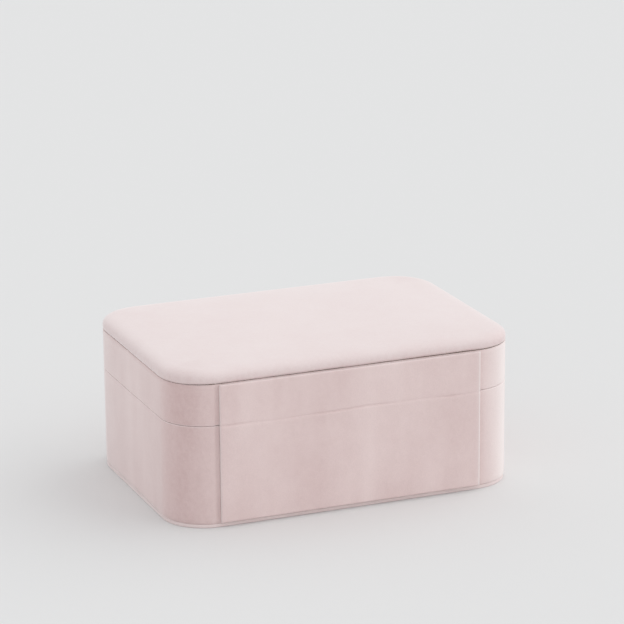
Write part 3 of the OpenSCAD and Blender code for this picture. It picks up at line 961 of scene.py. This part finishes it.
def make_pad(materials):
    """The lid's cushion, blown up as cloth and smoothed."""
    pad, count = make_pad_mesh(materials["pad_velvet"])
    swell(pad, HELD_RINGS * count)
    subdivide_smooth(pad, 1)
    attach(pad, "lid")
    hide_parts("pad_cover")


# ------------------------------------------------------------------ the front panel

PANEL_R = 1.0 * MM
# Painted highlight along the panel's edges: how far in it reaches, how far down the right edge, and
# its strength at the left edge and at the top and bottom
PANEL_HIGHLIGHT_SPAN = 1.2 * MM
PANEL_RIGHT_HIGHLIGHT_SPAN = 1.8 * MM
PANEL_LEFT_HIGHLIGHT = 0.45
PANEL_LEVEL_HIGHLIGHT = 0.35
PANEL_WAVE = 0.06
PANEL_RIPPLE = 0.25 * MM
PANEL_SEED = 9.3
# Distances from an edge where the panel's points lie close together
PANEL_NEAR = [0.0, 0.1 * MM, 0.3 * MM, 0.6 * MM, 1.0 * MM, 1.6 * MM]
PANEL_ALONG, PANEL_BELOW, PANEL_ABOVE = 84, 30, 12
CREASE_BAND = 7 * MM
CREASE_STEP = 0.5 * MM
# Where the crease is deep: middle and half length in millimetres, and strength
CREASE_SPANS = [(-86, 13, 1.0), (0, 36, 1.0), (76, 9, 0.9)]
# Waves of the crease's line: height and length in millimetres, and where each starts
CREASE_WAVES = [(0.5, 23.0, 0.6), (0.2, 7.0, 0.0)]
CREASE_DEPTH = 0.9 * MM
CREASE_BASE = 0.4
CREASE_HALF = 0.75 * MM
CREASE_LIP = 0.1 * MM
LIP_BELOW = 2.2 * MM
LIP_HALF = 1.6 * MM


def graded(low, high, near, middle):
    """Places from low to high, close together near both ends."""
    inner_low, inner_high = low + near[-1], high - near[-1]
    places = [low + step for step in near]
    places += [inner_low + (inner_high - inner_low) * k / middle for k in range(1, middle)]
    places += [high - step for step in reversed(near)]
    return places


def crease_strength(x):
    """How deep the crease is at x: deepest on three stretches, faint between them."""
    total = CREASE_BASE
    for centre, half, peak in CREASE_SPANS:
        total = max(total, peak * math.exp(-((x / MM - centre) / half) ** 4))
    return total


def crease_line(x):
    """Height of the crease at x, with the slow wave of glued cloth."""
    return PARTING + sum(height * MM * math.sin(x / MM / length + start)
                         for height, length, start in CREASE_WAVES)


def panel_front(x, z, low, high, front):
    """Depth of the panel's face at (x, z): rounded rim, soft waves and the crease."""
    edge = min(x - low.x, high.x - x, z - low.z, high.z - z)
    y = front
    if edge < PANEL_R:
        y += PANEL_R - math.sqrt(max(PANEL_R ** 2 - (PANEL_R - edge) ** 2, 0.0))
    y -= soft_shift(x, 0.0, z, PANEL_WAVE, PANEL_RIPPLE, PANEL_SEED)
    away = (z - crease_line(x)) / CREASE_HALF
    y += CREASE_DEPTH * crease_strength(x) * math.exp(-away * away)
    lip = (z - crease_line(x) + LIP_BELOW) / LIP_HALF
    y -= CREASE_LIP * crease_strength(x) * math.exp(-lip * lip)
    return y


def panel_edge_highlight(x, z, low, high):
    """Painted highlight at (x, z) along the panel's folded edges: most down the right edge, which
    faces the light.
    """
    level = min(z - low.z, high.z - z)
    return max(0.0, PANEL_LEFT_HIGHLIGHT - (x - low.x) / PANEL_HIGHLIGHT_SPAN,
               1.0 - (high.x - x) / PANEL_RIGHT_HIGHLIGHT_SPAN, PANEL_LEVEL_HIGHLIGHT - level / PANEL_HIGHLIGHT_SPAN)


def make_panel(materials):
    """One cloth over both boards, creased along the parting line."""
    low = FLAP_LOW
    high = Vector((FLAP_HIGH.x, STRIP_HIGH.y, STRIP_HIGH.z))
    ends = len(PANEL_NEAR)
    half_band = round(CREASE_BAND / CREASE_STEP)
    xs = graded(low.x, high.x, PANEL_NEAR, PANEL_ALONG)
    zs = graded(low.z, PARTING - CREASE_BAND, PANEL_NEAR, PANEL_BELOW)[:-ends]
    zs += [PARTING + step * CREASE_STEP for step in range(-half_band, half_band + 1)]
    zs += graded(PARTING + CREASE_BAND, high.z, PANEL_NEAR, PANEL_ABOVE)[ends:]
    points = [(x, panel_front(x, z, low, high, low.y), z) for z in zs for x in xs]
    points += [(x, FLAP_HIGH.y, z) for z in zs for x in xs]
    # Painted highlight along the panel's edges, strongest down the right edge
    fold_highlight = [panel_edge_highlight(x, z, low, high) for z in zs for x in xs]
    fold_highlight += [0.0] * len(fold_highlight)
    panel = make_object("front_panel_velvet", points, slab_faces(len(xs), len(zs)),
                        materials["velvet"], {"fold_highlight": fold_highlight})
    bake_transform(panel)
    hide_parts("flap_cover", "flap_top_cover")


# ------------------------------------------------------------------ inside

ROLL_COUNT = 7
ROLL_ALONG, ROLL_AROUND = 45, 49
ROLL_DRAW_IN = 0.22
ROLL_DRAW_LENGTH = 1.3 * MM
ROLL_UNEVENNESS = 0.9 * MM
# How steeply a roll's section drops from its round top to its flat sides
SIDE_STEEPNESS = 6.0
WAVE_SCALE = 70.0
WAVE_LEVEL = 0.62
WELD = 1e-6
GEOMETRY = "NodeSocketGeometry"


def ring_roll_tree():
    """Geometry tree for the ring rolls: one roll from a grid bent to a section with a round top
    and drawn-in ends, repeated along a row, with a slight unevenness that differs on each."""
    tree = bpy.data.node_groups.new("ring_rolls", "GeometryNodeTree")
    for title, kind in [("Rolls", "NodeSocketInt"), ("Pitch", FLOAT), ("Length", FLOAT),
                        ("Thickness", FLOAT), ("Height", FLOAT), ("Draw In", FLOAT),
                        ("Draw Length", FLOAT), ("Unevenness", FLOAT),
                        ("Finish", "NodeSocketMaterial")]:
        tree.interface.new_socket(title, in_out="INPUT", socket_type=kind)
    tree.interface.new_socket("Geometry", in_out="OUTPUT", socket_type=GEOMETRY)
    t = Tree(tree)
    given = t.node("NodeGroupInput").outputs
    end = t.node("NodeGroupOutput")
    grid = t.node("GeometryNodeMeshGrid", {"Size X": 1.0, "Size Y": 1.0, "Vertices X": ROLL_ALONG,
                                           "Vertices Y": ROLL_AROUND})
    place = t.node("GeometryNodeInputPosition").outputs[0]
    split = t.node("ShaderNodeSeparateXYZ", {0: place})
    along = t.maths("MULTIPLY", t.maths("ADD", split.outputs["X"], 0.5), math.pi)
    around = t.maths("MULTIPLY", t.maths("ADD", split.outputs["Y"], 0.5), math.tau)
    half = t.maths("MULTIPLY", given["Length"], 0.5)
    radius = t.maths("MULTIPLY", given["Thickness"], 0.5)
    spine = t.maths("SUBTRACT", given["Height"], radius)
    x = t.maths("MULTIPLY", half, t.maths("COSINE", along))
    to_end = t.maths("SUBTRACT", half, t.maths("ABSOLUTE", x))
    fall = t.maths("POWER", math.e, t.maths("DIVIDE", to_end,
                                            t.maths("MULTIPLY", given["Draw Length"], -1.0)))
    drawn = t.maths("MULTIPLY_ADD", fall, t.maths("MULTIPLY", given["Draw In"], -1.0), 1.0)
    open_end = t.maths("GREATER_THAN", to_end, WELD)
    scale = t.maths("MULTIPLY", drawn, open_end)
    y = t.maths("MULTIPLY", t.maths("MULTIPLY", radius, t.maths("COSINE", around)), scale)
    rise = t.maths("SINE", around)
    top = t.maths("MULTIPLY", radius, t.maths("MAXIMUM", rise, 0.0))
    side = t.maths("MAXIMUM", t.maths("MULTIPLY", t.maths("MINIMUM", rise, 0.0),
                                      t.maths("MULTIPLY", radius, SIDE_STEEPNESS)),
                   t.maths("MULTIPLY", spine, -1.0))
    middle = t.maths("MULTIPLY", given["Height"], 0.5)
    level = t.maths("ADD", spine, t.maths("ADD", top, side))
    z = t.maths("MULTIPLY_ADD", t.maths("SUBTRACT", level, middle), scale, middle)
    bent = t.node("ShaderNodeCombineXYZ", {0: x, 1: y, 2: z}).outputs[0]
    roll = t.node("GeometryNodeSetPosition", {"Geometry": grid.outputs["Mesh"],
                                              "Position": bent}).outputs[0]
    roll = t.node("GeometryNodeMergeByDistance", {"Geometry": roll, "Distance": WELD}).outputs[0]
    step = t.node("ShaderNodeCombineXYZ", {1: given["Pitch"]}).outputs[0]
    row = t.node("GeometryNodeMeshLine", {"Count": given["Rolls"], "Offset": step})
    rolls = t.node("GeometryNodeInstanceOnPoints", {"Points": row.outputs[0],
                                                    "Instance": roll}).outputs[0]
    rolls = t.node("GeometryNodeRealizeInstances", {"Geometry": rolls}).outputs[0]
    spot = t.node("GeometryNodeInputPosition").outputs[0]
    waves = t.node("ShaderNodeTexNoise", {"Vector": spot, "Scale": WAVE_SCALE, "Detail": 2.0})
    push = t.maths("MULTIPLY", t.maths("SUBTRACT", waves.outputs["Fac"], WAVE_LEVEL),
                   given["Unevenness"])
    outwards = t.node("GeometryNodeInputNormal").outputs[0]
    shift = t.node("ShaderNodeVectorMath", {0: outwards, 3: push}, operation="SCALE").outputs[0]
    rolls = t.node("GeometryNodeSetPosition", {"Geometry": rolls, "Offset": shift}).outputs[0]
    rolls = t.node("GeometryNodeSetMaterial", {"Geometry": rolls,
                                               "Material": given["Finish"]}).outputs[0]
    t.link(rolls, end.inputs["Geometry"])
    return tree


def make_ring_rolls(materials):
    """Row of foam rolls in velvet, with flat sides, round tops and drawn-in ends."""
    nodes = [f"ring_roll_{number}" for number in range(1, ROLL_COUNT + 1)]
    first_low, first_high = span(nodes[0])
    last_low, _ = span(nodes[-1])
    given = {"Rolls": ROLL_COUNT, "Pitch": (last_low.y - first_low.y) / (ROLL_COUNT - 1),
             "Length": first_high.x - first_low.x, "Thickness": first_high.y - first_low.y,
             "Height": first_high.z - first_low.z, "Draw In": ROLL_DRAW_IN,
             "Draw Length": ROLL_DRAW_LENGTH, "Unevenness": ROLL_UNEVENNESS,
             "Finish": materials["roll_velvet"]}
    rolls = new_object("ring_rolls_velvet", bpy.data.meshes.new("ring_rolls_velvet"))
    row = rolls.modifiers.new("row", "NODES")
    row.node_group = ring_roll_tree()
    for socket in row.node_group.interface.items_tree:
        if socket.in_out == "INPUT":
            row[socket.identifier] = given[socket.name]
    bake_modifiers(rolls)
    start = Vector((0.0, (first_low.y + first_high.y) / 2, first_low.z))
    for vert in rolls.data.vertices:
        vert.co += start
    face_outwards(rolls.data)
    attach(rolls, "tray")
    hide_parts(*nodes)


DIVIDER_ROUND = 0.42
DIVIDER_SEGMENTS = 4


def make_divider(node, body, materials):
    """Covered divider with a rounded top edge."""
    low, high = span(node)
    thick = min(high.x - low.x, high.y - low.y)
    divider = rounded_block(f"{node}_suede", low, high, thick * DIVIDER_ROUND,
                            materials["suede"], DIVIDER_SEGMENTS)
    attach(divider, body)
    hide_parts(node)


def make_tray_skin(materials):
    """Suede that lines the tray, rolls over its rim and covers the outside."""
    outer_in = (BOX_W - (SHELL_HIGH.x - SHELL_LOW.x)) / 2
    inner_in = (BOX_W - (TRAY_HIGH.x - TRAY_LOW.x)) / 2 + 0.6 * MM
    skin = 0.4 * MM
    low = SHELL_LOW.z
    top = SHELL_HIGH.z + 0.5 * MM
    r = (inner_in - outer_in + skin) / 2
    floor = TRAY_LOW.z + 0.6 * MM
    rings = [(outer_in + 0.6 * MM, low + 0.3 * MM), (outer_in + 0.6 * MM, low + 1.0 * MM),
             (outer_in, low + 1.0 * MM), (outer_in - skin, low + 1.4 * MM),
             (outer_in - skin, (low + top) / 2)]
    rings += quarter((outer_in - skin + inner_in) / 2, top - r, r, 180.0, 10, -180.0)
    rings += [(inner_in, (floor + top) / 2), (inner_in, floor + 1.5 * MM),
              (inner_in + 0.5 * MM, floor + 0.5 * MM), (inner_in + 1.5 * MM, floor)]
    points, faces = stacked(rings)
    tray_skin = make_object("tray_suede", points, faces, materials["suede"])
    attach(tray_skin, "tray")
    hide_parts("tray_lining")


RIBBON_T = 0.35 * MM
# How far a leg of the ribbon leans in, and the share of its height where the legs end
RIBBON_LEAN = 0.85 * MM
RIBBON_LEGS = 0.78
RIBBON_BEND = 0.2
# Middle and radius of the bend, and how far in the second leg stands
RIBBON_BEND_IN = 0.9 * MM
RIBBON_BEND_R = 1.1 * MM
RIBBON_BACK = 1.1 * MM
RIBBON_STEPS = 8
# Places across the ribbon, as shares of its width
RIBBON_ACROSS = [-0.5, -0.49, 0.49, 0.5]


def ribbon_path(rise):
    """Middle line of the folded ribbon, as (distance from the wall, height)."""
    straight = rise * RIBBON_LEGS
    legs = [(RIBBON_LEAN * share ** 2, straight * share) for share in even_shares(RIBBON_STEPS)]
    path = [(RIBBON_T * 0.5 + lean, height) for lean, height in legs]
    for step in range(1, RIBBON_STEPS):
        angle = math.pi * (1 - step / RIBBON_STEPS)
        path.append((RIBBON_LEAN + RIBBON_T * 0.5 + RIBBON_BEND_IN + RIBBON_BEND_R * math.cos(angle),
                     straight + rise * RIBBON_BEND * math.sin(angle)))
    return path + [(RIBBON_T * 1.7 + RIBBON_BACK + lean, height) for lean, height in reversed(legs)]


def make_ribbon(side, materials):
    """Folded satin ribbon that stands up from the tray's side."""
    node = "tray_pull_left" if side < 0 else "tray_pull_right"
    low, high = span(node)
    wall = low.x if side < 0 else high.x
    path = ribbon_path(high.z - low.z)
    points = []
    for shift in (-0.5 * RIBBON_T, 0.5 * RIBBON_T):
        for number, (away, height) in enumerate(path):
            before = path[max(number - 1, 0)]
            after = path[min(number + 1, len(path) - 1)]
            dx, dz = after[0] - before[0], after[1] - before[1]
            size = math.hypot(dx, dz)
            x = wall - side * (away - dz / size * shift)
            z = low.z + height + dx / size * shift
            points += [(x, (high.y - low.y) * share, z) for share in RIBBON_ACROSS]
    ribbon = make_object(f"{node}_ribbon", points, slab_faces(len(RIBBON_ACROSS), len(path)),
                         materials["ribbon"])
    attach(ribbon, "tray")
    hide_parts(node)


def make_floor_pad(materials):
    """Soft floor of the base, a little proud in the middle."""
    low, high = span("base_floor_pad")
    inset = (BOX_W - (high.x - low.x)) / 2
    rings = [(inset + 1.0 * MM, low.z), (inset, low.z + 0.6 * MM), (inset, high.z - 1.2 * MM),
             (inset + 0.5 * MM, high.z - 0.4 * MM), (inset + 2.5 * MM, high.z),
             (inset + 8 * MM, high.z + 0.1 * MM)]
    points, faces = stacked(rings)
    pad = make_object("base_floor_suede_pad", points, faces, materials["suede"])
    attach(pad, "base")
    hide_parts("base_floor_pad")


# How far the frame laps over the glass, and the corner radius of its window
MIRROR_LAP = 3 * MM
WINDOW_R = 2 * MM


def make_mirror_surround(materials):
    """Padded frame around the mirror, rolled in at the window."""
    inset = (BOX_W - (SURROUND_HIGH.x - SURROUND_LOW.x)) / 2
    win_w = MIRROR_HIGH.x - MIRROR_LOW.x - 2 * MIRROR_LAP
    win_d = MIRROR_HIGH.y - MIRROR_LOW.y - 2 * MIRROR_LAP
    glass = MIRROR_LOW.z
    low = SURROUND_LOW.z
    top = SURROUND_HIGH.z

    def window(grow):
        return outline(0.0, win_w + 2 * grow, win_d + 2 * grow, WINDOW_R + grow)

    rows = [(window(0.9 * MM), glass - 0.05 * MM), (window(0.1 * MM), glass - 0.8 * MM),
            (window(0.1 * MM), low + 1.1 * MM), (window(0.7 * MM), low + 0.3 * MM),
            (window(2.0 * MM), low)]
    for share in (0.3, 0.6):
        a, b = window(2.0 * MM), outline(inset + 2 * MM)
        rows.append(([(p[0] + (q[0] - p[0]) * share, p[1] + (q[1] - p[1]) * share, 0, 0)
                      for p, q in zip(a, b)], low))
    rows += [(outline(inset + 2 * MM), low), (outline(inset + 0.6 * MM), low + 0.3 * MM),
             (outline(inset), low + 1.2 * MM), (outline(inset), top),
             (window(MIRROR_LAP + 0.4 * MM), top),
             (window(MIRROR_LAP + 0.4 * MM), glass - 0.05 * MM)]
    points = []
    for ring, height in rows:
        points += [(p[0], p[1], height) for p in ring]
    count = len(rows[0][0])
    surround = make_object("mirror_frame_suede", points, ring_faces(len(rows), count, True),
                           materials["suede"])
    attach(surround, "lid")
    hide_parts("mirror_surround")


# ------------------------------------------------------------------ carried-over pieces

SLOT_FINISH = {"velvet": "velvet", "lining": "suede", "ring_velvet": "roll_velvet",
               "ribbon": "ribbon", "wall_board": "fibreboard", "board": "board", "foam": "foam",
               "steel": "steel", "magnet": "magnet", "mirror_glass": "mirror"}


def finish_cad_nodes(materials):
    """Give every carried-over node the finish of its slot."""
    for entry in frame["record"]["subparts"]:
        node = frame["nodes"][entry["node"]]
        finish = materials[SLOT_FINISH[entry["material_slot"]]]
        if not node.material_slots:
            node.data.materials.append(finish)
        for place in node.material_slots:
            place.material = finish


# ------------------------------------------------------------------ build

place_camera()
light_studio()
pale_floor()
finishes = make_materials()
finish_cad_nodes(finishes)
make_base_plate(finishes)
make_base_cover(finishes)
make_lid_cover(finishes)
make_pad(finishes)
make_panel(finishes)
make_floor_pad(finishes)
for name in ("lower_divider_cross", "lower_divider_long", "tray_ledge_left", "tray_ledge_right"):
    make_divider(name, "base", finishes)
make_tray_skin(finishes)
for name in ("tray_divider_left", "tray_divider_right", "tray_divider_rings",
             "tray_divider_left_cross", "tray_divider_right_front", "tray_divider_right_back"):
    make_divider(name, "tray", finishes)
make_ring_rolls(finishes)
make_ribbon(-1, finishes)
make_ribbon(1, finishes)
make_mirror_surround(finishes)
